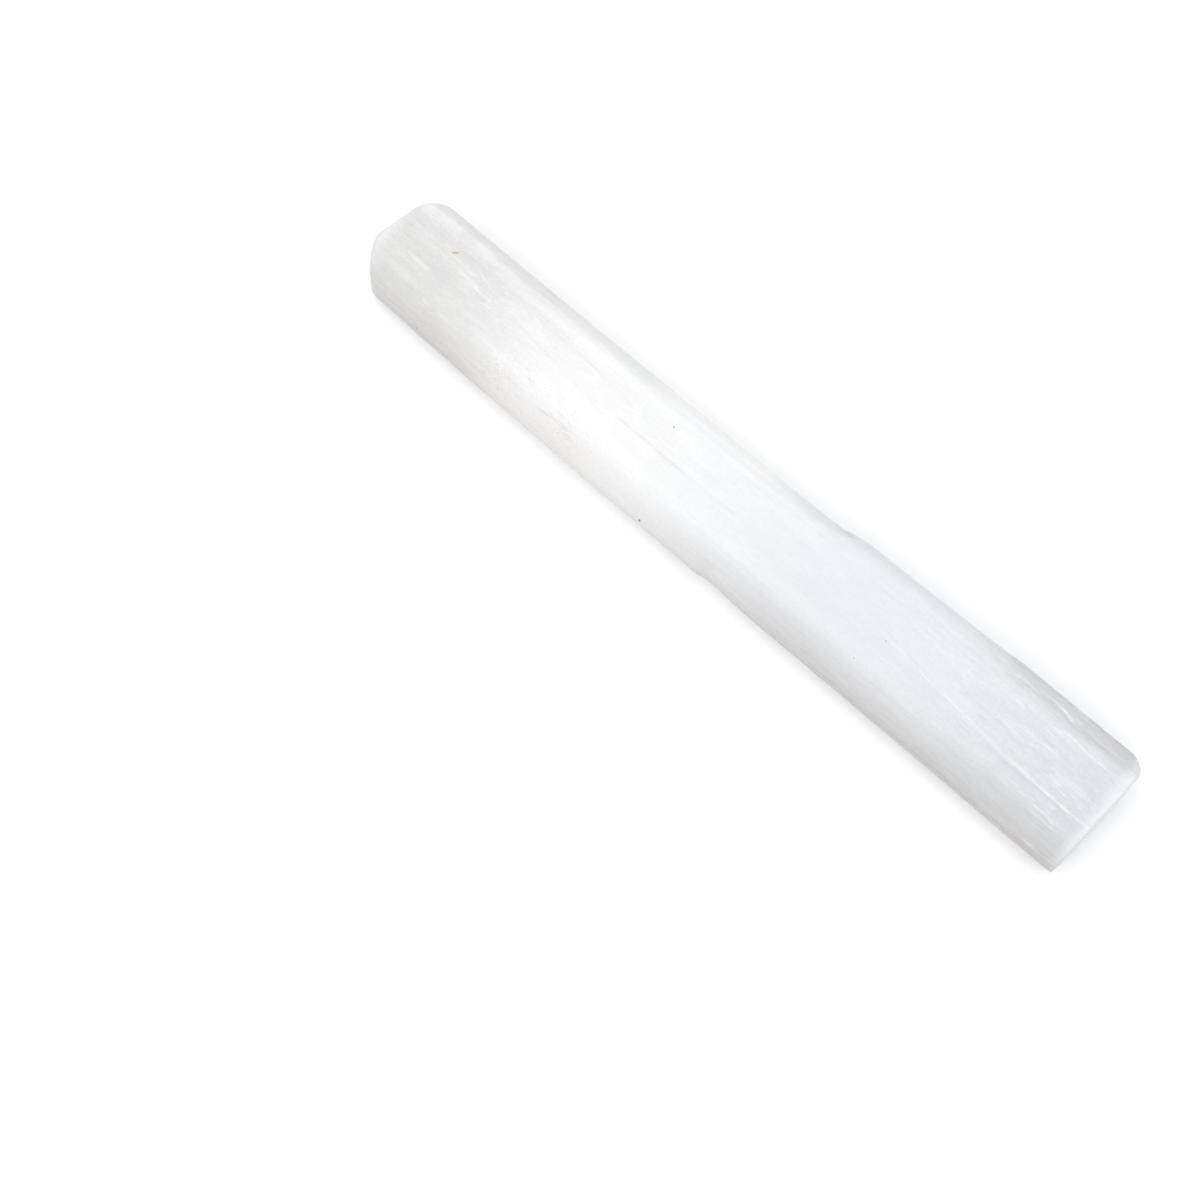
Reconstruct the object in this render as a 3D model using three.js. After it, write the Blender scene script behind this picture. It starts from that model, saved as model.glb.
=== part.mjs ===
// A natural selenite stick (satin spar gypsum): one fibrous crystal, cut across at both ends and
// lying on its flat underside. It grew as a single piece, so it is a single solid.
//
// Millimetres. +X runs along the fibres, towards the wider end, +Y across them to the back, +Z up.
// The origin is on the resting surface, under the middle of the stick's bounding box.
//
// The cross-section is a convex polygon of cleavage faces whose edges are worn round. Each face
// looks in a fixed direction, and its distance from the stick's axis changes slowly along the stick.
import * as THREE from 'three';

const LENGTH = 200;
const AXIS_HEIGHT = 9.4; // the axis lies this far above the resting surface
const AROUND = 46; // points round the back, top and front of each ring
const ACROSS = 7; // points across the underside of each ring
const STATION_PITCH = 6; // between rings along the middle of the stick
const END_RINGS = 9; // rings over each rounded end
const CAP_SCALES = [0.7, 0.35]; // the rings inside each end face, as shares of its outline
const EDGE_POWER = 34; // a higher power leaves the edges between the faces sharper

// angle: where the face looks, in degrees from +Y towards +Z.
// distance: from the axis, at places spaced evenly from the -X end to the +X end.
// endRounding: the radius that rounds the face over into the -X end face and the +X end face.
const FACES = {
  backSide: { angle: 2, distance: [12.7, 12.6, 12.6, 12.6, 13.2, 13.4], endRounding: [4.2, 5.0] },
  backBevel: { angle: 38, distance: [13.2, 13.0, 13.2, 13.6, 14.5, 14.4], endRounding: [3.0, 3.0] },
  top: { angle: 92, distance: [9.4, 9.6, 9.9, 10.1, 10.0, 9.7], endRounding: [1.4, 0.7] },
  frontSide: { angle: 177, distance: [11.8, 13.0, 13.8, 13.9, 14.1, 14.6], endRounding: [3.2, 0.9] },
  frontFoot: { angle: 222, distance: [12.4, 12.8, 13.1, 13.3, 13.4, 13.3], endRounding: [2.0, 1.0] },
  backFoot: { angle: 316, distance: [12.0, 12.2, 12.0, 12.4, 12.6, 12.9], endRounding: [2.0, 1.4] },
};

// Narrow faces that touch a cylinder of this radius, which rounds the top over into the front side.
const SHOULDER = { angles: [112, 133, 155], radius: 9.5, endRounding: [2.4, 0.9] };

// The flat face that it rests on. Beyond it the underside rises straight, and a little, to both ends.
const FOOT = { length: 144, width: 15, endRise: 0.8, endRounding: 1 };
const FOOT_ANGLE = THREE.MathUtils.degToRad(41); // how far below level the faces reach, from the axis

// Laths split away from the back of the stick: the back steps out by this much where each one ends.
const LEDGES = [
  { from: 17, to: 24, height: 1.1 },
  { from: 60, to: 66, height: 0.4 },
];
const LEDGE_FACES = ['backSide', 'backBevel'];

// Each end face is a blunt gable. Its crest, which runs up and down at y = crest, stands furthest
// out. From there the face falls back by a slope on each side, and by the lean from the bottom up.
// Softness is the distance from the crest at which the slopes begin.
const ENDS = {
  minusX: { crest: -4.3, backSlope: 0.25, frontSlope: 0.52, softness: 0.8, lean: 0.01 },
  plusX: { crest: 12, backSlope: 0.1, frontSlope: 0.04, softness: 2, lean: 0 },
};
const END_REACH = 24; // how far from each end its slopes fade out

const COLOUR = 0xece9e5;

// A smooth curve through values spaced evenly along the stick, read at x.
function valueAlong(values, x) {
  const knots = values.map((value, i) => new THREE.Vector2(i, value));
  return new THREE.SplineCurve(knots).getPoint(x / LENGTH + 0.5).y;
}

function ledgeHeight(x) {
  const steps = LEDGES.map(({ from, to, height }) => height * THREE.MathUtils.smoothstep(x, from, to));
  return steps.reduce((total, step) => total + step, 0);
}

function faceAt(x, { angle, endRounding }, distance) {
  return { angle: THREE.MathUtils.degToRad(angle), distance, rounding: endRounding[x < 0 ? 0 : 1] };
}

// How far out each face of the shoulder is, where the top and the front side are this far out.
function shoulderDistance(angle, top, side) {
  const direction = THREE.MathUtils.degToRad(angle);
  const { radius } = SHOULDER;
  return radius + (top - radius) * Math.sin(direction) - (side - radius) * Math.cos(direction);
}

// The faces as they are at x: where each looks, how far out it is, and the rounding at the near end.
function facesAt(x) {
  const main = Object.entries(FACES).map(([name, face]) => {
    const ledge = LEDGE_FACES.includes(name) ? ledgeHeight(x) : 0;
    return faceAt(x, face, valueAlong(face.distance, x) + ledge);
  });
  const top = valueAlong(FACES.top.distance, x);
  const side = valueAlong(FACES.frontSide.distance, x);
  const shoulder = SHOULDER.angles.map((angle) =>
    faceAt(x, { angle, endRounding: SHOULDER.endRounding }, shoulderDistance(angle, top, side)));
  return [...main, ...shoulder];
}

// Where the outline of the faces, a polygon with rounded corners, lies in one direction.
function outlinePoint(faces, direction) {
  let reach = 0;
  let rounding = 0;
  for (const face of faces) {
    const facing = Math.max(0, Math.cos(direction - face.angle));
    const share = (facing / face.distance) ** EDGE_POWER;
    reach += share;
    rounding += share * face.rounding;
  }
  const distance = reach ** (-1 / EDGE_POWER);
  return {
    y: distance * Math.cos(direction),
    z: distance * Math.sin(direction),
    rounding: rounding / reach,
  };
}

function evenSteps(count, from, to) {
  return Array.from({ length: count }, (_, i) => from + ((to - from) * i) / (count - 1));
}

// The cross-section at x, about the axis: round the back, top and front, then across the underside.
function crossSection(x) {
  const faces = facesAt(x);
  const beyondFoot = Math.max(0, Math.abs(x) - FOOT.length / 2) / ((LENGTH - FOOT.length) / 2);
  const underside = FOOT.endRise * beyondFoot - AXIS_HEIGHT;
  const directions = evenSteps(AROUND, -FOOT_ANGLE, Math.PI + FOOT_ANGLE);
  const acrossFoot = evenSteps(ACROSS, -FOOT.width / 2, FOOT.width / 2);
  return [
    ...directions.map((direction) => outlinePoint(faces, direction)),
    ...acrossFoot.map((y) => ({ y, z: underside, rounding: FOOT.endRounding })),
  ];
}

// How far back from its square place the end face lies at y and z.
function endSetback(end, y, z) {
  const slope = y > end.crest ? end.backSlope : end.frontSlope;
  const away = Math.hypot(y - end.crest, end.softness) - end.softness;
  return slope * away + end.lean * z;
}

// The cross-section at x, drawn in near the end by a quarter circle, or shrunk inside the end face.
function ringAt(x, scale) {
  const fromEnd = LENGTH / 2 - Math.abs(x);
  const end = x < 0 ? ENDS.minusX : ENDS.plusX;
  const fade = 1 - THREE.MathUtils.smoothstep(fromEnd, 0, END_REACH);
  return crossSection(x).map((point) => {
    const turned = Math.max(0, 1 - fromEnd / point.rounding);
    const drawnIn = point.rounding * (1 - Math.sqrt(1 - turned ** 2));
    const share = scale * (1 - drawnIn / Math.hypot(point.y, point.z));
    const y = share * point.y;
    const z = share * point.z + AXIS_HEIGHT;
    return new THREE.Vector3(x - Math.sign(x) * fade * endSetback(end, y, z), y, z);
  });
}

// The rings from the middle of one end face to the middle of the other.
function rings() {
  const roundings = Object.values(FACES).flatMap((face) => face.endRounding);
  const depth = Math.max(...roundings);
  const middle = LENGTH - 2 * depth;
  const gaps = Math.round(middle / STATION_PITCH);
  const overEnd = Array.from({ length: END_RINGS }, (_, i) => depth * (i / END_RINGS) ** 2);
  const between = Array.from({ length: gaps + 1 }, (_, i) => depth + (middle * i) / gaps);
  const overFarEnd = overEnd.map((d) => LENGTH - d).reverse();
  const body = [...overEnd, ...between, ...overFarEnd].map((d) => ringAt(d - LENGTH / 2, 1));
  const leftCap = CAP_SCALES.map((scale) => ringAt(-LENGTH / 2, scale)).reverse();
  const rightCap = CAP_SCALES.map((scale) => ringAt(LENGTH / 2, scale));
  return [...leftCap, ...body, ...rightCap];
}

function centreOf(ring) {
  const sum = ring.reduce((total, point) => total.add(point), new THREE.Vector3());
  return sum.divideScalar(ring.length);
}

// A closed skin over rings of equal numbers of points, with a fan over the first and the last.
function closedSkin(skinRings) {
  const count = skinRings[0].length;
  const last = skinRings.length - 1;
  const points = [...skinRings.flat(), centreOf(skinRings[0]), centreOf(skinRings[last])];
  const [firstCentre, lastCentre] = [points.length - 2, points.length - 1];
  const index = [];
  for (let i = 0; i < count; i++) {
    const j = (i + 1) % count;
    for (let ring = 0; ring < last; ring++) {
      const [near, far] = [ring * count, (ring + 1) * count];
      index.push(near + i, far + j, far + i);
      index.push(near + i, near + j, far + j);
    }
    index.push(firstCentre, j, i);
    index.push(lastCentre, last * count + i, last * count + j);
  }
  const geometry = new THREE.BufferGeometry().setFromPoints(points);
  geometry.setIndex(index);
  geometry.computeVertexNormals();
  return geometry;
}

const selenite = new THREE.MeshStandardMaterial({ color: COLOUR, roughness: 0.4, metalness: 0 });

const stick = new THREE.Mesh(closedSkin(rings()), selenite);
stick.name = 'selenite_blade';
stick.geometry.computeBoundingBox();
const middle = stick.geometry.boundingBox.getCenter(new THREE.Vector3());
stick.position.set(-middle.x, -middle.y, 0);

const group = new THREE.Group();
group.add(stick);

export default group;
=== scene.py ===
import math
from functools import reduce

import bpy
import numpy as np
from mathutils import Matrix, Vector
from mathutils.bvhtree import BVHTree


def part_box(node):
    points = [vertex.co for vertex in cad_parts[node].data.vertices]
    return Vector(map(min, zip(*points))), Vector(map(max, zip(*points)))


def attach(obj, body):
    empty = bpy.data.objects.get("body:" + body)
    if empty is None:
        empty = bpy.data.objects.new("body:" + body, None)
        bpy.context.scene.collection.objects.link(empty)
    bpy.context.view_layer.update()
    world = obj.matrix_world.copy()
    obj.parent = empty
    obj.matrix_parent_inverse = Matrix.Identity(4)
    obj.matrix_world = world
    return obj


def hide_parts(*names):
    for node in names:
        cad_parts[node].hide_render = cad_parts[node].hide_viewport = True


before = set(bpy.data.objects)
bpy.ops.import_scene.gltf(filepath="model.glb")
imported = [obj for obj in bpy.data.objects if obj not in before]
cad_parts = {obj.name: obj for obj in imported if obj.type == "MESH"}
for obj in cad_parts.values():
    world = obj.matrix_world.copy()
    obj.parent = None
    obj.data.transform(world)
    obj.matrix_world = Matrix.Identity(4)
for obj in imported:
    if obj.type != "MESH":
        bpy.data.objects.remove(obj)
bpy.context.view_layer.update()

NODE = "selenite_blade"
MM = 0.001

# ---------------------------------------------------------------- numbers on arrays

HASH_FACTORS = (374761393, 668265263, 974634777)
HASH_MIXER = 1274126177
LOW_32_BITS = 0xFFFFFFFF
LOW_16_BITS = 0xFFFF


def hash01(i, j, seed):
    """A fixed number from 0 to 1 for each pair of whole numbers."""
    n = sum(number * factor for number, factor in zip((i, j, seed), HASH_FACTORS)) & LOW_32_BITS
    n = ((n ^ (n >> 13)) * HASH_MIXER) & LOW_32_BITS
    return ((n ^ (n >> 16)) & LOW_16_BITS) / LOW_16_BITS


def ease(t):
    return t * t * (3 - 2 * t)


def ramp(value, start, end):
    """0 before start, 1 after end, and eased between them. It may also run downwards."""
    return ease(np.clip((value - start) / (end - start), 0, 1))


def lattice(u, v, seed, wrap=None):
    """Smooth noise from 0 to 1, one cell to each unit of u and v. It repeats in u after wrap cells."""
    i = np.floor(u).astype(np.int64)
    j = np.floor(v).astype(np.int64)
    fu = ease(u - i)
    fv = ease(v - j)
    left = i % wrap if wrap else i
    right = (i + 1) % wrap if wrap else i + 1
    low = hash01(left, j, seed) * (1 - fu) + hash01(right, j, seed) * fu
    high = hash01(left, j + 1, seed) * (1 - fu) + hash01(right, j + 1, seed) * fu
    return low * (1 - fv) + high * fv


def blur(values, passes, axis, wrap=False):
    """Averages each value with its neighbours along an axis, again and again."""
    values = np.moveaxis(values, axis, 0)
    for _ in range(passes):
        before = np.roll(values, 1, 0)
        after = np.roll(values, -1, 0)
        if not wrap:
            before[0] = values[0]
            after[-1] = values[-1]
        values = (before + 2 * values + after) / 4
    return np.moveaxis(values, 0, axis)


def zone(points, fades):
    """How fully each point lies in a zone, which fades in along each axis from one place to another."""
    shares = [ramp(points[..., "xyz".index(axis)], start, end) for axis, start, end in fades]
    return reduce(np.multiply, shares)


# ---------------------------------------------------------------- the skin's grid

RING_PITCH = 0.85
END_INSET = 13.0  # the rays over each end fan out from a point this far inside it
END_RINGS = 52
AXIS_GAP = math.radians(0.6)  # between the stick's axis and the first rays round it
COLUMNS = 300
UNDERSIDE_HEIGHT = 1.0
UNDERSIDE_SHARE = 0.35  # the hidden underside gets fewer columns than the rest
OUTLINE_RAYS = 1441

PASSES_ROUND = 10
PASSES_ALONG = 14
ALONG_UNTIL = 0.3  # the skin is softened along the stick until its rays lean by this, in radians
NEAR_FOOT = (0.6, 0.05)  # the heights between which softening fades out, so that the foot stays flat


def solid_tree():
    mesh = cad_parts[NODE].data
    points = [v.co / MM for v in mesh.vertices]
    return BVHTree.FromPolygons(points, [tuple(p.vertices) for p in mesh.polygons])


def hit(tree, origin, direction):
    place, _, _, _ = tree.ray_cast(Vector(origin), Vector(direction))
    return place if place is not None else Vector(origin)


def column_angles(tree, axis_z):
    """Directions round the axis, evenly spaced over the middle section's outline."""
    angles = np.linspace(0, 2 * math.pi, OUTLINE_RAYS)
    points = np.array([hit(tree, (0, 0, axis_z), (0, math.cos(a), math.sin(a))) for a in angles])
    steps = np.linalg.norm(np.diff(points, axis=0), axis=1)
    middle_z = (points[1:, 2] + points[:-1, 2]) / 2
    steps = steps * np.where(middle_z < UNDERSIDE_HEIGHT, UNDERSIDE_SHARE, 1)
    walked = np.concatenate([[0], np.cumsum(steps)])
    return np.interp(np.arange(COLUMNS) / COLUMNS * walked[-1], walked, angles)


def skin_grid():
    """Points of the solid's surface as rings x columns x 3, and how each ring's rays lean."""
    low, high = (np.array(corner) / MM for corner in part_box(NODE))
    axis_z = (low[2] + high[2]) / 2
    tree = solid_tree()
    angles = column_angles(tree, axis_z)
    first, last = low[0] + END_INSET, high[0] - END_INSET
    leans = np.linspace(math.pi / 2, 0, END_RINGS, endpoint=False) - AXIS_GAP
    between = np.linspace(first, last, round((last - first) / RING_PITCH))
    rays = [(first, -lean) for lean in leans]
    rays += [(x, 0.0) for x in between]
    rays += [(last, lean) for lean in reversed(leans)]
    grid = np.empty((len(rays), COLUMNS, 3))
    for i, (x, lean) in enumerate(rays):
        for j, a in enumerate(angles):
            spread = math.cos(lean)
            direction = (math.sin(lean), spread * math.cos(a), spread * math.sin(a))
            grid[i, j] = hit(tree, (x, 0, axis_z), direction)
    return grid, np.array([lean for _, lean in rays])


def soften(grid, leans):
    """Rounds off the solid's facets: strongly along its middle, slightly at its ends."""
    round_it = blur(grid, PASSES_ROUND, 1, wrap=True)
    along = blur(round_it, PASSES_ALONG, 0)
    middle = np.clip(1 - np.abs(leans) / ALONG_UNTIL, 0, 1)[:, None, None]
    mixed = round_it * (1 - middle) + along * middle
    on_foot = ramp(grid[..., 2:3], *NEAR_FOOT)
    return mixed * (1 - on_foot) + grid * on_foot


def grid_normals(grid):
    along = np.gradient(grid, axis=0)
    across = np.roll(grid, -1, 1) - np.roll(grid, 1, 1)
    normal = np.cross(across, along)
    return normal / np.maximum(np.linalg.norm(normal, axis=2, keepdims=True), 1e-9)


# ---------------------------------------------------------------- what is carved into the skin

# Each fade of a zone is an axis, where the zone begins along it and where it is full.
SPLINTERED = (("x", 52, 68), ("y", 7.5, 10.5), ("z", 9, 13))  # the frayed back of the +X end
SCUFFED = (("x", -68, -62), ("x", -28, -44), ("y", -4, -9))  # the worn patch on the front shoulder
FLAKED = (("x", 34, 46), ("y", -1.5, -3.5))  # the front half of the top, towards the +X end
LEDGED = (("x", 10, 18), ("x", 34, 26), ("y", 8.5, 11))  # the back, round the higher of its ledges
CALM = (("x", -62, -45), ("x", 45, 25))  # the smooth middle
NOTCH = (("x", 1.2, 2.0), ("x", 16, 4), ("y", -11, -13))  # a sliver gone from the front side
FLAKE_END = (("x", 75.2, 75.8), ("y", -5.0, -5.3), ("y", -9.5, -7.5))  # where the flake broke deeper
FACET_SHADE_ZONE = (("x", 36, 60), ("y", -12, -9))  # painted shade on the facet that the flake left bare
DEEPER_FACET_SHADE = (74.8, 75.8)  # the painted shade deepens between these
ENDS = ((-50, -80), (50, 85))  # where each end begins along x, and where it is full
RIMS = (95.8, 98.8)  # the same for the rims, as distances from the middle of the stick

END_FACING = (0.45, 0.85)  # of the normal's x, from the sides to the end faces
TOP_FACING = (0.1, 0.5)  # of the normal's z, from the sides to the top
ABOVE_FOOT = (0.05, 1.2)  # nothing is carved at the foot, and all of it above this

# Layers of noise round and along the stick: cells round it, the length of each, its height, a seed.
GRAIN = (
    (COLUMNS // 2, 3.5, 0.025, 11),
    (COLUMNS // 4, 8, 0.025, 12),
    (52, 22, 0.03, 13),
    (24, 60, 0.05, 14),
    (9, 90, 0.12, 15),
)
CALMING = 0.55  # how much of the grain the calm zone loses
LATHS = ((34, 46, 0.55, 21), (100, 17, 0.3, 22), (COLUMNS, 7, 0.15, 23))
LATH_DEPTH = 0.11
LATH_EDGE = (0.55, 1.0)  # the part of each step over which its edge slopes
MOST_LATHS = 5  # split off at one place
FIRST_LATH = 0.62  # comes off where the laths' noise is this high
NEXT_LATH = 0.05  # comes off where it is this much higher
LOOSENING = 0.24  # how much lower the first one is where the skin is loose

# Noise in clusters: cells round the stick, the length of each and a seed, fine and then coarse.
PITS = ((200, 1.2, 41), (80, 3.5, 42))
FLECKS = ((220, 2.2, 61), (36, 9, 62))
FLECK_EDGE = (0.45, 0.8)  # the noise where a fleck begins, and where it is full
PIT_DEPTH = 0.1
SEAM_DEPTH = 0.06
NOTCH_DEPTH = 0.4

# What the skin has everywhere, and what each kind of place adds to that: how loose its laths are,
# how much of it is pitted, how strong its pale flecks are, and how dirty its pits are.
LOOSE = (0.12, {"splintered": 0.6, "ledged": 0.5, "scuffed": 0.3, "flaked": 0.2, "sides": 0.25})
PITTED = (0.05, {"scuffed": 0.75, "splintered": 0.3})
FLECKED = (0, {"ends": 0.35, "splintered": 0.45, "sides": 0.1})
DIRTY = (0.15, {"scuffed": 0.1})
SEAM_DIRT = 0.35
RIM_STRENGTH = 0.4

# The crest is the edge of a thin flake that is gone from the front of the top: x and y along it.
CREST = ((40, -1.2), (77, -4.7), (99, -5.4))
CREST_HALF_WIDTH = 0.15
FACET_SHADE_EDGE = (0.1, 0.5)  # the painted shade's distances from the crest where it begins and is full
FLAKE_START = (36, 52)  # along x
FLAKE_DEPTH = 0.1
FLAKE_SLOPE = 0.05
FLAKE_WIDTH = 5
FLAKE_END_DEPTH = 0.14

# The broken ends of the fibres: the width, height and depth of a cell, and a seed.
END_CELLS = ((2.6, 2.1, 0.22, 31), (0.8, 0.9, 0.12, 32))
END_OFFSET = 40  # cells

# Lines along the fibres of the top face: x and y at one end, x and y at the other, half width and
# strength. The seams are grooves between the fibres, and the streaks are paler fibres, except the first
# streak, which is a painted highlight along the back edge at the -X end.
SEAMS = (
    (-34, -1.5, 2, -1.9, 0.5, 0.6),
    (-58, 4.6, -30, 2.2, 0.5, 0.35),
    (-66, 1.0, -34, -3.4, 0.4, 0.35),
    (33, 1.2, 60, -3.2, 0.4, 0.4),
    (60, 0.8, 84, -0.6, 0.3, 0.3),
)
STREAKS_AND_HIGHLIGHT = (
    # a painted highlight along the back edge at the -X end, not a fibre
    (-104, 8.4, -74, 8.6, 2.2, 0.5),
    (-83.0, 2.7, -75.5, 2.4, 0.5, 0.6),
    (-92.0, -2.6, -84.0, -3.2, 0.6, 0.5),
    (-60.0, 6.4, -48.0, 5.6, 0.4, 0.4),
    (50.0, -2.2, 77.5, -4.7, 0.4, 0.25),
    (75.5, -4.5, 102.0, -5.4, 0.35, 0.55),
    (66.5, 11.2, 71.5, 10.6, 0.3, 0.5),
    (71.0, 9.6, 77.5, 8.6, 0.3, 0.7),
    (77.5, 5.6, 82.0, 5.0, 0.35, 0.6),
    (80.3, 7.5, 97.1, 6.9, 0.26, 0.75),
    (84.0, 1.0, 98.0, -0.6, 0.5, 0.4),
)
SEAM_SEED = 51
STREAK_SEED = 53
LINE_FADE = 3
LINE_WANDER, WANDER_LENGTH = 0.3, 6
BREAK_LENGTH = 2.5
FAINTEST = 0.4  # what is left of a line where it is broken

# Where laths broke off square along the back: the solid rises slowly from one x to the other, by
# this much, and the skin stays low until the break, a little before the end of the rise.
LEDGES = ((17, 24, 1.1), (60, 66, 0.4))
LEDGE_BREAK = (3.0, 3.7)  # before that end: where the skin is whole, and where it is still low
LEDGE_BACK = (8.5, 10.5)  # where the ledges begin along y, and where they are full
RAGGED_CELLS, RAGGED_LENGTH, RAGGED_SEED = 48, 30, 71
RAGGEDNESS = 5  # how far apart the fibres broke


def layers(share, x, table):
    return sum(
        height * lattice(share * cells, x / length, seed, cells)
        for cells, length, height, seed in table
    )


def clusters(share, x, table):
    fine, coarse = (lattice(share * cells, x / length, seed, cells) for cells, length, seed in table)
    return fine * coarse


def weigh(zones, weights):
    """A weight for every place, made of what it has everywhere and what each zone adds."""
    everywhere, added = weights
    return everywhere + sum(weight * zones[name] for name, weight in added.items())


def lath_depth(share, x, loose):
    """Thin laths that have split off, leaving steps along the fibres. loose is from 0 to 1."""
    height = layers(share, x, LATHS) - FIRST_LATH + LOOSENING * loose
    steps = np.clip(height / NEXT_LATH, 0, MOST_LATHS)
    whole = np.floor(steps)
    stepped = whole + ramp(steps - whole, *LATH_EDGE)
    return LATH_DEPTH * stepped * loose


def pits(share, x, fill):
    """Short scratches and pits, as shares of their full depth. fill is how much skin they take."""
    return ramp(clusters(share, x, PITS), 0.8 - 0.45 * fill, 1.0 - 0.4 * fill)


def lines(x, y, table, seed):
    """How strongly these lines mark each point. They wander a little, and are broken."""
    marked = np.zeros_like(x)
    for number, (x0, y0, x1, y1, half_width, strength) in enumerate(table):
        row = np.full_like(x, number)
        wander = LINE_WANDER * (lattice(x / WANDER_LENGTH, row, seed) - 0.5)
        middle = np.interp(x, (x0, x1), (y0, y1)) + wander
        whole = ramp(lattice(x / BREAK_LENGTH, row, seed + 1), 0.3, 0.6)
        broken = FAINTEST + (1 - FAINTEST) * whole
        present = ramp(x, x0, x0 + LINE_FADE) * ramp(x, x1, x1 - LINE_FADE)
        across = np.clip(1 - np.abs(y - middle) / half_width, 0, 1)
        marked = np.maximum(marked, strength * across * broken * present)
    return marked


def ledge_depth(share, x, y):
    noise = lattice(share * RAGGED_CELLS, x / RAGGED_LENGTH, RAGGED_SEED, RAGGED_CELLS)
    ragged = x + RAGGEDNESS * (noise - 0.5)
    whole_at, low_at = LEDGE_BREAK
    gap = sum(
        height * ramp(x, start, end) * ramp(ragged, end - whole_at, end - low_at)
        for start, end, height in LEDGES
    )
    return gap * ramp(y, *LEDGE_BACK)


def crest_y(x):
    return np.interp(x, *zip(*CREST))


def flake_depth(grid):
    """The thin flake gone from the front of the top: deeper away from its crest and at its end."""
    x, y = grid[..., 0], grid[..., 1]
    crest = crest_y(x)
    edge = ramp(y, crest + CREST_HALF_WIDTH, crest - CREST_HALF_WIDTH)
    thickness = FLAKE_DEPTH + FLAKE_SLOPE * np.clip(crest - y, 0, FLAKE_WIDTH)
    return thickness * edge * ramp(x, *FLAKE_START) + FLAKE_END_DEPTH * zone(grid, FLAKE_END)


def end_depth(y, z):
    return sum(
        depth * lattice(y / width + END_OFFSET, z / height + END_OFFSET, seed)
        for width, height, depth, seed in END_CELLS
    )


def skin_zones(grid, top):
    """How fully each point lies in each kind of place. top is how far it is on the top face."""
    return {
        "splintered": zone(grid, SPLINTERED),
        "ledged": zone(grid, LEDGED),
        "scuffed": zone(grid, SCUFFED) * top,
        "flaked": zone(grid, FLAKED) * top,
        "sides": 1 - top,
        "ends": np.maximum(*(ramp(grid[..., 0], *fade) for fade in ENDS)),
    }


def carve(grid):
    """The skin moved inwards by the depth of all that is carved into it, and its marks."""
    x, y, z = grid[..., 0], grid[..., 1], grid[..., 2]
    share = np.broadcast_to(np.arange(COLUMNS) / COLUMNS, x.shape)
    normal = grid_normals(grid)
    on_end = ramp(np.abs(normal[..., 0]), *END_FACING)
    top = ramp(normal[..., 2], *TOP_FACING)
    zones = skin_zones(grid, top)
    hollows = pits(share, x, weigh(zones, PITTED))
    grooves = lines(x, y, SEAMS, SEAM_SEED) * top

    calm = 1 - CALMING * zone(grid, CALM) * top
    depth = layers(share, x, GRAIN) * calm + lath_depth(share, x, weigh(zones, LOOSE))
    depth = depth + flake_depth(grid) * top + ledge_depth(share, x, y)
    depth = depth + NOTCH_DEPTH * zone(grid, NOTCH) + PIT_DEPTH * hollows + SEAM_DEPTH * grooves
    depth = depth * (1 - on_end) + end_depth(y, z) * on_end
    depth = depth * ramp(z, *ABOVE_FOOT)
    carved = grid - normal * depth[..., None]
    carved[..., 2] = np.maximum(carved[..., 2], 0)

    rim = RIM_STRENGTH * ramp(np.abs(x), *RIMS) * top * (1 - on_end)
    marks = {
        "dirt": np.maximum(hollows * weigh(zones, DIRTY), SEAM_DIRT * grooves) * (1 - on_end),
        # pale fibres and pale rims, and a painted highlight along the back edge at the -X end
        "pale_and_highlight": np.maximum(pale_fibres_and_highlight(grid, share, zones), rim),
        # painted shade on the facet that the flake left bare
        "facet_shade": facet_shade_mark(grid) * top,
        "frayed": zones["splintered"],
    }
    return carved, marks


def pale_fibres_and_highlight(grid, share, zones):
    """Pale fibres, scattered towards the ends of the stick and set in streaks on its top, with a painted
    highlight along the back edge at the -X end.
    """
    x, y = grid[..., 0], grid[..., 1]
    scattered = ramp(clusters(share, x, FLECKS), *FLECK_EDGE) * weigh(zones, FLECKED)
    streaks = lines(x, y, STREAKS_AND_HIGHLIGHT, STREAK_SEED) * (1 - zones["sides"])
    return np.maximum(scattered, streaks)


# painted shade on the facet that the flake left bare, deeper towards the flake's end
def facet_shade_mark(grid):
    x, y = grid[..., 0], grid[..., 1]
    begins, full = FACET_SHADE_EDGE
    beyond_crest = ramp(crest_y(x) - y, begins, full)
    return zone(grid, FACET_SHADE_ZONE) * (0.3 + 0.7 * ramp(x, *DEEPER_FACET_SHADE)) * beyond_crest


def skin_mesh(name, grid, marks):
    """A closed mesh over the grid, with a fan over each end. Its points carry the marks."""
    rings, columns, _ = grid.shape
    poles = np.array([grid[0].mean(0), grid[-1].mean(0)])
    points = np.concatenate([grid.reshape(-1, 3), poles]) * MM
    near = np.arange(columns)
    far = (near + 1) % columns
    start = (np.arange(rings - 1) * columns)[:, None]
    quads = np.stack([start + near, start + far, start + columns + far, start + columns + near], -1)
    tail = (rings - 1) * columns
    first_fan = np.stack([far, near, np.full(columns, len(points) - 2)], -1)
    last_fan = np.stack([tail + near, tail + far, np.full(columns, len(points) - 1)], -1)
    faces = quads.reshape(-1, 4).tolist() + first_fan.tolist() + last_fan.tolist()
    mesh = bpy.data.meshes.new(name)
    mesh.from_pydata(points.tolist(), [], faces)
    mesh.polygons.foreach_set("use_smooth", [True] * len(mesh.polygons))
    for mark, values in marks.items():
        layer = mesh.attributes.new(mark, "FLOAT", "POINT")
        layer.data.foreach_set("value", np.append(values.ravel(), [0, 0]))
    mesh.update()
    piece = bpy.data.objects.new(name, mesh)
    bpy.context.scene.collection.objects.link(piece)
    return piece


# ---------------------------------------------------------------- short words for materials


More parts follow.
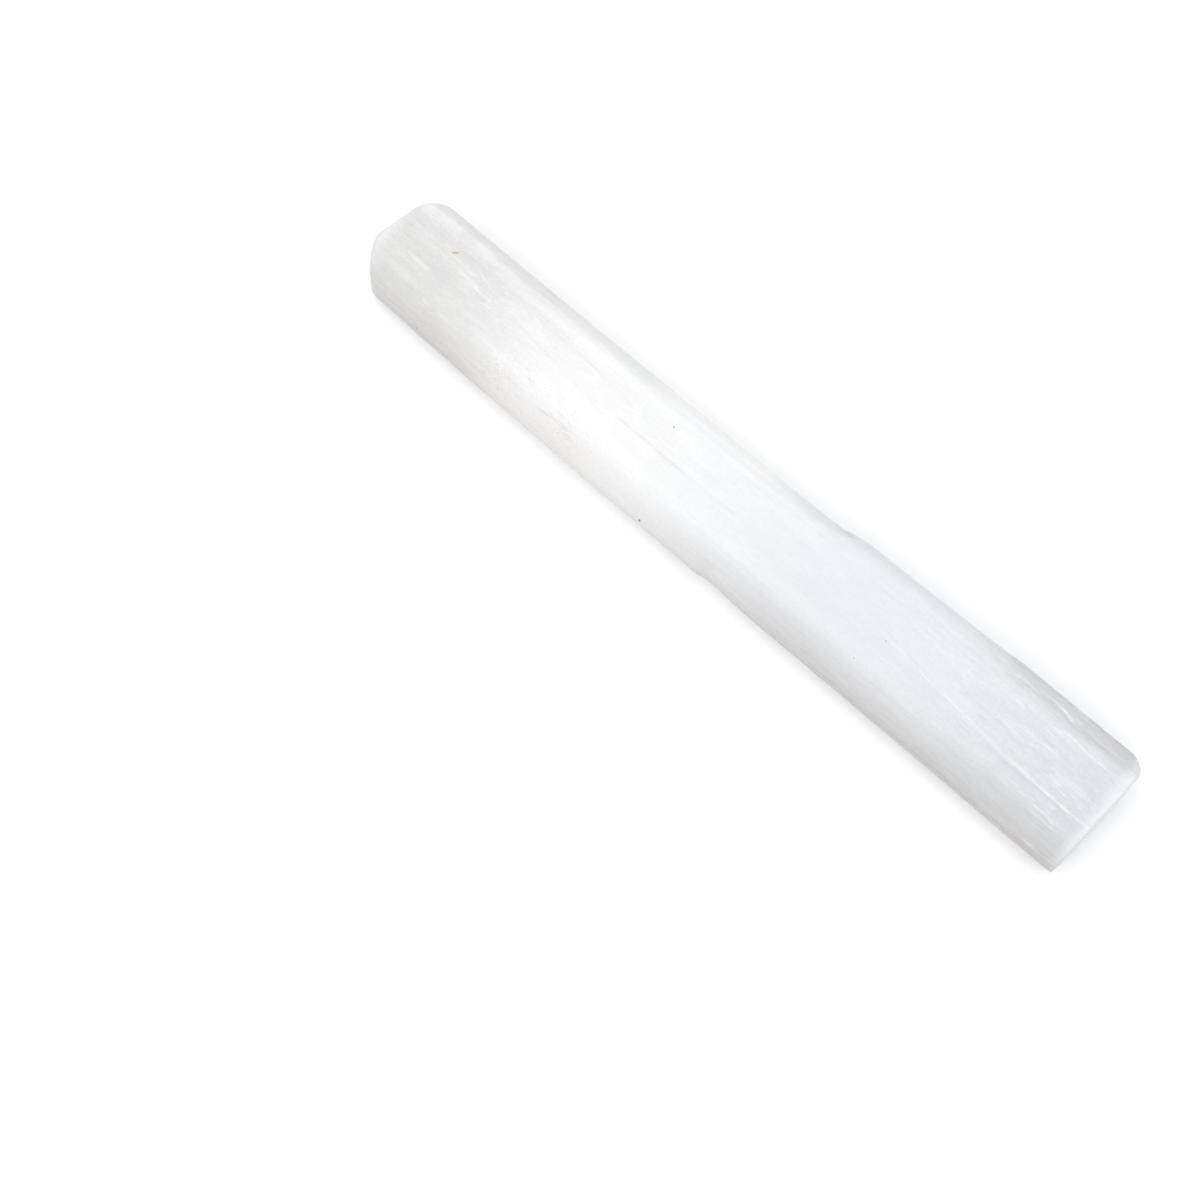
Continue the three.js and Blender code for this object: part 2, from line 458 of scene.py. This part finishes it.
class Shader:
    """Short words for building one material's nodes."""

    def __init__(self, name):
        self.material = bpy.data.materials.new(name)
        self.material.use_nodes = True
        self.nodes = self.material.node_tree.nodes
        self.links = self.material.node_tree.links
        self.surface = self.nodes["Principled BSDF"]

    def plug(self, value, socket):
        if isinstance(value, bpy.types.NodeSocket):
            self.links.new(value, socket)
        else:
            socket.default_value = value

    def make(self, kind, **settings):
        node = self.nodes.new(kind)
        for key, value in settings.items():
            setattr(node, key, value)
        return node

    def attribute(self, name):
        return self.make("ShaderNodeAttribute", attribute_name=name).outputs["Fac"]

    def stretched(self, lengths):
        """Where a point is on the object, with one unit for each of these lengths in millimetres."""
        place = self.make("ShaderNodeTexCoord").outputs["Object"]
        node = self.make("ShaderNodeVectorMath", operation="MULTIPLY")
        self.plug(place, node.inputs[0])
        node.inputs[1].default_value = [1 / (length * MM) for length in lengths]
        return node.outputs[0]

    def place(self):
        """Where a point is on the object: its x, y and z in millimetres."""
        node = self.make("ShaderNodeSeparateXYZ")
        self.plug(self.stretched((1, 1, 1)), node.inputs[0])
        return node.outputs

    def noise(self, lengths, detail=2.0, roughness=0.5):
        node = self.make("ShaderNodeTexNoise")
        self.plug(self.stretched(lengths), node.inputs["Vector"])
        node.inputs["Scale"].default_value = 1.0
        node.inputs["Detail"].default_value = detail
        node.inputs["Roughness"].default_value = roughness
        return node.outputs["Fac"]

    def range(self, value, start, end, low=0.0, high=1.0):
        """low before start, high after end, and eased between them."""
        node = self.make("ShaderNodeMapRange", interpolation_type="SMOOTHSTEP")
        self.plug(value, node.inputs["Value"])
        for key, number in zip(("From Min", "From Max", "To Min", "To Max"), (start, end, low, high)):
            node.inputs[key].default_value = number
        return node.outputs["Result"]

    def math(self, operation, a, b):
        node = self.make("ShaderNodeMath", operation=operation)
        self.plug(a, node.inputs[0])
        self.plug(b, node.inputs[1])
        return node.outputs[0]

    def product(self, *values):
        return reduce(lambda a, b: self.math("MULTIPLY", a, b), values)

    def total(self, *values):
        return reduce(lambda a, b: self.math("ADD", a, b), values)

    def zone(self, place, fades):
        """How fully a point lies in a zone, which fades in along each axis from one place to another."""
        shares = [self.range(place["xyz".index(axis)], start, end) for axis, start, end in fades]
        return self.product(*shares)

    def swing(self, noise, amount):
        """A layer of noise as a number about 0, from about -amount / 2 to amount / 2."""
        return self.product(self.math("SUBTRACT", noise, 0.5), amount * 2.5)

    def spot(self, x, y, lengths, degrees):
        """1 inside a small ellipse in the plane of two coordinates, and 0 outside it."""
        at_x, at_y, half_length, half_width = lengths
        cosine, sine = math.cos(math.radians(degrees)), math.sin(math.radians(degrees))
        dx, dy = self.math("SUBTRACT", x, at_x), self.math("SUBTRACT", y, at_y)
        along = self.total(self.product(dx, cosine), self.product(dy, sine))
        across = self.math("SUBTRACT", self.product(dy, cosine), self.product(dx, sine))
        shares = (self.math("DIVIDE", along, half_length), self.math("DIVIDE", across, half_width))
        squares = self.total(*(self.math("POWER", share, 2.0) for share in shares))
        return self.range(squares, 1.2, 0.5)

    def mix(self, factor, a, b, blend="MIX"):
        node = self.make("ShaderNodeMix", data_type="RGBA", blend_type=blend)
        self.plug(factor, node.inputs["Factor"])
        for value, key in ((a, 6), (b, 7)):
            self.plug((*value, 1) if isinstance(value, tuple) else value, node.inputs[key])
        return node.outputs[2]

    def bump(self, height, distance_mm, strength, normal=None):
        node = self.make("ShaderNodeBump")
        self.plug(height, node.inputs["Height"])
        node.inputs["Distance"].default_value = distance_mm * MM
        node.inputs["Strength"].default_value = strength
        if normal is not None:
            self.plug(normal, node.inputs["Normal"])
        return node.outputs["Normal"]


# ---------------------------------------------------------------- the stick's material

# Layers of noise: the lengths of a cell along x, y and z, its detail and its roughness.
NOISES = {
    "veils": ((26, 5, 5), 3.0),
    "clouds": ((20, 9, 9), 2.0),
    "patches": ((8, 3, 3), 4.0, 0.6),
    "silk": ((14, 0.7, 0.7), 2.0),
    "fibres": ((3.2, 0.42, 0.42), 2.0),
    "grit": ((0.9, 0.34, 0.34), 2.0),
    "hairs": ((7, 0.36, 0.36), 1.0),
    "specks": ((0.55, 0.36, 0.36), 1.0),
}
SWINGS = {"veils": 0.04, "silk": 0.03, "fibres": 0.05, "grit": 0.08}  # how far each changes the tone

# The stick's colours from one end to the other: where each gives way to the next, which is white, then
# pale blue, then a bluish grey. The white middle is partly the crystal's own milkiness and partly a
# painted broad highlight.
FIRST_COLOUR = (0.70, 0.697, 0.69)
NEXT_COLOURS = (
    (-78, -40, (0.828, 0.828, 0.827)),
    (-24, 40, (0.738, 0.758, 0.786)),
    (45, 115, (0.64, 0.666, 0.692)),
)
COLOUR_WANDER = 12

# Where the back of the skin is painted paler, a painted highlight that stands in for light falling on
# it: the bevel over the middle of the stick, and the back of the top at the -X end.
PAINTED_HIGHLIGHT_ZONES = (
    ((("x", -36, -18), ("x", 16, -8), ("y", 7.8, 9.6), ("z", 12, 15.5)), 0.19),
    ((("x", -62, -78), ("y", 4.5, 9)), 0.1),
)
# painted shade: the front side darker towards the bottom
LOW_FRONT_SHADE = (("z", 13, 4), ("y", -10, -13))
SANDY_LENGTH = (("x", -68, -62), ("x", -26, -40))
ON_TOP = (("z", 7, 10),)
ON_FRONT = (("y", -10, -11),)

# the first colour is a painted shade for the facet that the flake left bare
FACET_SHADE_BLUE = (0.545, 0.575, 0.61)
# a real brown stain, also used for painted shade and a painted brown reflection on the front
STAIN_AND_SHADE_BROWN = (0.46, 0.43, 0.41)
FRAYED_BROWN = (0.58, 0.555, 0.54)
SAND = (0.74, 0.66, 0.59)
GREY_SOIL = (0.42, 0.42, 0.425)
SANDY_SOIL = (0.46, 0.41, 0.36)
# the pale colour of the pale fibres, also used for a painted highlight on the back edge
CHALK_AND_HIGHLIGHT = (0.93, 0.935, 0.94)
TAN = (0.58, 0.46, 0.28)
BLACK = (0.15, 0.145, 0.14)
DULL_GREY = (0.53, 0.535, 0.54)

# What lies in the top skin: x, y, half length and half width, how far it is turned in degrees, and
# its colour. For what lies in the front side, z and half height take the place of y and half width.
TOP_SPECKS = (
    (-83.5, 3.6, 0.8, 0.34, 40, TAN),
    (-21.9, 4.5, 0.2, 0.17, 0, BLACK),
    (42.0, -1.9, 0.3, 0.15, 0, DULL_GREY),
    (39.2, -8.8, 0.22, 0.15, 0, DULL_GREY),
)
FRONT_SPECKS = (
    (-15.6, 10.0, 0.32, 0.7, 0, BLACK),
    (-81.2, 8.5, 0.35, 0.6, 0, BLACK),
)

# how strong the painted shade on the flake's facet is
FACET_SHADE_STRENGTH = 0.3
PALE_AND_HIGHLIGHT_STRENGTH = 0.75
# how strong the painted shade low on the front side is
LOW_SHADE_STRENGTH = 0.34
DOT_STRENGTH = 0.5
ROUGHNESS = (0.32, 0.5)  # from one fibre to the next
GRIT_BUMP = (0.03, 0.6)  # a height in millimetres and a strength
FIBRE_BUMP = (0.05, 0.4)
SURFACE = {
    "IOR": 1.52,
    "Subsurface Weight": 1.0,
    "Subsurface Radius": (0.9, 0.95, 1.0),
    "Subsurface Scale": 2.0 * MM,
    "Transmission Weight": 0.08,
}


# the white middle is partly the crystal's milkiness and partly a painted broad highlight
def body_colour_and_highlight(s, place, noises):
    along = s.total(place[0], s.product(noises["clouds"], COLOUR_WANDER))
    colour = FIRST_COLOUR
    for start, end, following in NEXT_COLOURS:
        colour = s.mix(s.range(along, start, end), colour, following)
    return colour


def grain_tone_and_highlights(s, place, noises):
    """How much lighter or darker the grain makes the skin, with painted highlights added on the back:
    about 1, and least even at the ends.
    """
    ends = s.total(s.range(place[0], -30, -85), s.range(place[0], 20, 90))
    strength = s.range(ends, 0.0, 1.0, 0.5, 1.0)
    swings = [s.swing(noises[name], amount) for name, amount in SWINGS.items()]
    swings.append(s.range(noises["patches"], 0.46, 0.66, -0.015, 0.03))
    pale_hairs = s.range(noises["hairs"], 0.68, 0.78, 0.0, 0.05)
    dark_hairs = s.range(noises["hairs"], 0.34, 0.24, 0.0, -0.05)
    # painted highlights: the back bevel and the back of the -X end are made paler
    painted_highlights = [s.product(s.zone(place, fades), amount) for fades, amount in PAINTED_HIGHLIGHT_ZONES]
    return s.total(s.product(s.total(*swings), strength), 1.0, pale_hairs, dark_hairs, *painted_highlights)


def stain_and_shade(s, place, noises):
    """How stained and shaded the front is: most at its edge, away from the paler middle, and in streaks.
    It is partly a real brown stain and partly painted shade and a painted brown reflection towards the
    front edge, and low on the front side a painted shade is added.
    """
    x, y, _ = place
    # partly a real brown stain, partly painted shade and a painted brown reflection towards the front
    # edge
    front_stain_and_shade = s.total(s.range(y, 0, -6, 0.0, 0.1), s.range(y, -7, -18.5, 0.0, 0.9))
    away = s.total(s.range(x, -50, -80), s.range(x, -45, 45))
    worn = s.total(
        s.range(noises["fibres"], 0.35, 0.65, 0.3, 0.52),
        s.range(noises["silk"], 0.35, 0.65, 0.3, 0.5),
    )
    streaks = s.product(front_stain_and_shade, worn, s.range(away, 0.0, 1.0, 0.28, 1.0))
    # painted shade, darker towards the bottom of the front side
    return s.total(streaks, s.product(s.zone(place, LOW_FRONT_SHADE), LOW_SHADE_STRENGTH))


def soiled(s, place, noises, colour):
    """Dirt in the pits and seams, sandy where the skin is scuffed and grey elsewhere."""
    y = place[1]
    scuffed = s.zone(place, SANDY_LENGTH)
    sandy = s.product(scuffed, s.range(y, -7, -12.5))
    haze = s.product(sandy, s.range(noises["patches"], 0.38, 0.6, 0.05, 0.28))
    clustered = s.product(s.range(noises["specks"], 0.62, 0.72), s.range(noises["clouds"], 0.35, 0.5))
    dots = s.product(clustered, scuffed, s.range(y, -4, -8), DOT_STRENGTH)
    colour = s.mix(haze, colour, SAND)
    return s.mix(s.total(dots, s.attribute("dirt")), colour, s.mix(sandy, GREY_SOIL, SANDY_SOIL))


def specked(s, place, colour):
    x, y, z = place
    for across, fades, specks in ((y, ON_TOP, TOP_SPECKS), (z, ON_FRONT, FRONT_SPECKS)):
        shown = s.zone(place, fades)
        for *lengths, degrees, speck_colour in specks:
            speck = s.product(s.spot(x, across, lengths, degrees), shown)
            colour = s.mix(speck, colour, speck_colour)
    return colour


def selenite_material():
    s = Shader("selenite")
    place = s.place()
    noises = {name: s.noise(*settings) for name, settings in NOISES.items()}
    fibres = noises["fibres"]

    # the stick's colours, with a painted broad highlight in the white middle
    colour = body_colour_and_highlight(s, place, noises)
    # the grain's tone, with painted highlights on the back
    colour = s.mix(1.0, colour, grain_tone_and_highlights(s, place, noises), "MULTIPLY")
    # painted shade on the facet that the flake left bare
    colour = s.mix(s.product(s.attribute("facet_shade"), FACET_SHADE_STRENGTH), colour, FACET_SHADE_BLUE)
    # real stain, with painted shade and a painted brown reflection on the front
    colour = s.mix(stain_and_shade(s, place, noises), colour, STAIN_AND_SHADE_BROWN)
    frayed = s.product(s.attribute("frayed"), s.range(fibres, 0.35, 0.6, 0.15, 0.6))
    colour = s.mix(frayed, colour, FRAYED_BROWN)
    colour = soiled(s, place, noises, colour)
    # pale fibres, and a painted highlight along the back edge at the -X end
    colour = s.mix(s.product(s.attribute("pale_and_highlight"), PALE_AND_HIGHLIGHT_STRENGTH), colour, CHALK_AND_HIGHLIGHT)
    colour = specked(s, place, colour)

    s.plug(colour, s.surface.inputs["Base Color"])
    s.plug(s.range(fibres, 0.3, 0.7, *ROUGHNESS), s.surface.inputs["Roughness"])
    gritty = s.bump(noises["grit"], *GRIT_BUMP)
    s.plug(s.bump(fibres, *FIBRE_BUMP, gritty), s.surface.inputs["Normal"])
    for socket, value in SURFACE.items():
        s.surface.inputs[socket].default_value = value
    return s.material


# ---------------------------------------------------------------- the object


def add_stick():
    grid, leans = skin_grid()
    piece = skin_mesh("selenite_stick", *carve(soften(grid, leans)))
    piece.data.materials.append(selenite_material())
    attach(piece, "root")
    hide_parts(NODE)
    return piece


# ---------------------------------------------------------------- floor, light and camera, in metres

FLOOR_SIZE = 6
FLOOR_PATCHES = 180  # millimetres
FLOOR_TONES = ((0.93, 0.93, 0.93), (0.95, 0.95, 0.95))
FLOOR_ROUGHNESS = 0.7

SKY_COLOUR = (0.985, 0.99, 1.0, 1)
SKY_STRENGTH = 0.7
SOFTBOX_PLACE = (0.05, -0.35, 1.35)
SOFTBOX_SIZE = 2.0
SOFTBOX_POWER = 19

AZIMUTH = math.radians(41.1)
ELEVATION = math.radians(75)
DISTANCE = 0.638
AIM = (-0.0104, -0.0326, 0.010)
LENS = 90
SENSOR_WIDTH = 36
CLIP_START = 0.01


def floor_material():
    s = Shader("floor")
    tone = s.noise((FLOOR_PATCHES,) * 3)
    s.plug(s.mix(tone, *FLOOR_TONES), s.surface.inputs["Base Color"])
    s.surface.inputs["Roughness"].default_value = FLOOR_ROUGHNESS
    return s.material


def add_floor():
    bpy.ops.mesh.primitive_plane_add(size=FLOOR_SIZE, location=(0, 0, 0))
    floor = bpy.context.object
    floor.name = "floor"
    floor.data.materials.append(floor_material())


def facing(direction):
    """The rotation that turns a light or a camera to look this way."""
    return direction.to_track_quat("-Z", "Y").to_euler()


def add_softbox():
    light = bpy.data.lights.new("key", "AREA")
    light.shape = "SQUARE"
    light.size = SOFTBOX_SIZE
    light.energy = SOFTBOX_POWER
    lamp = bpy.data.objects.new("key", light)
    lamp.location = SOFTBOX_PLACE
    lamp.rotation_euler = facing(-Vector(SOFTBOX_PLACE))
    bpy.context.scene.collection.objects.link(lamp)


def add_sky():
    world = bpy.data.worlds.new("studio")
    world.use_nodes = True
    background = world.node_tree.nodes["Background"]
    background.inputs["Color"].default_value = SKY_COLOUR
    background.inputs["Strength"].default_value = SKY_STRENGTH
    bpy.context.scene.world = world
    bpy.context.scene.view_settings.view_transform = "Standard"
    bpy.context.scene.view_settings.look = "None"


def add_camera():
    back = Vector((
        math.sin(AZIMUTH) * math.cos(ELEVATION),
        -math.cos(AZIMUTH) * math.cos(ELEVATION),
        math.sin(ELEVATION),
    ))
    camera = bpy.data.objects.new("camera", bpy.data.cameras.new("camera"))
    camera.data.lens = LENS
    camera.data.sensor_width = SENSOR_WIDTH
    camera.data.clip_start = CLIP_START
    camera.location = Vector(AIM) + back * DISTANCE
    camera.rotation_euler = facing(-back)
    bpy.context.scene.collection.objects.link(camera)
    bpy.context.scene.camera = camera


add_camera()
add_floor()
add_softbox()
add_sky()
add_stick()
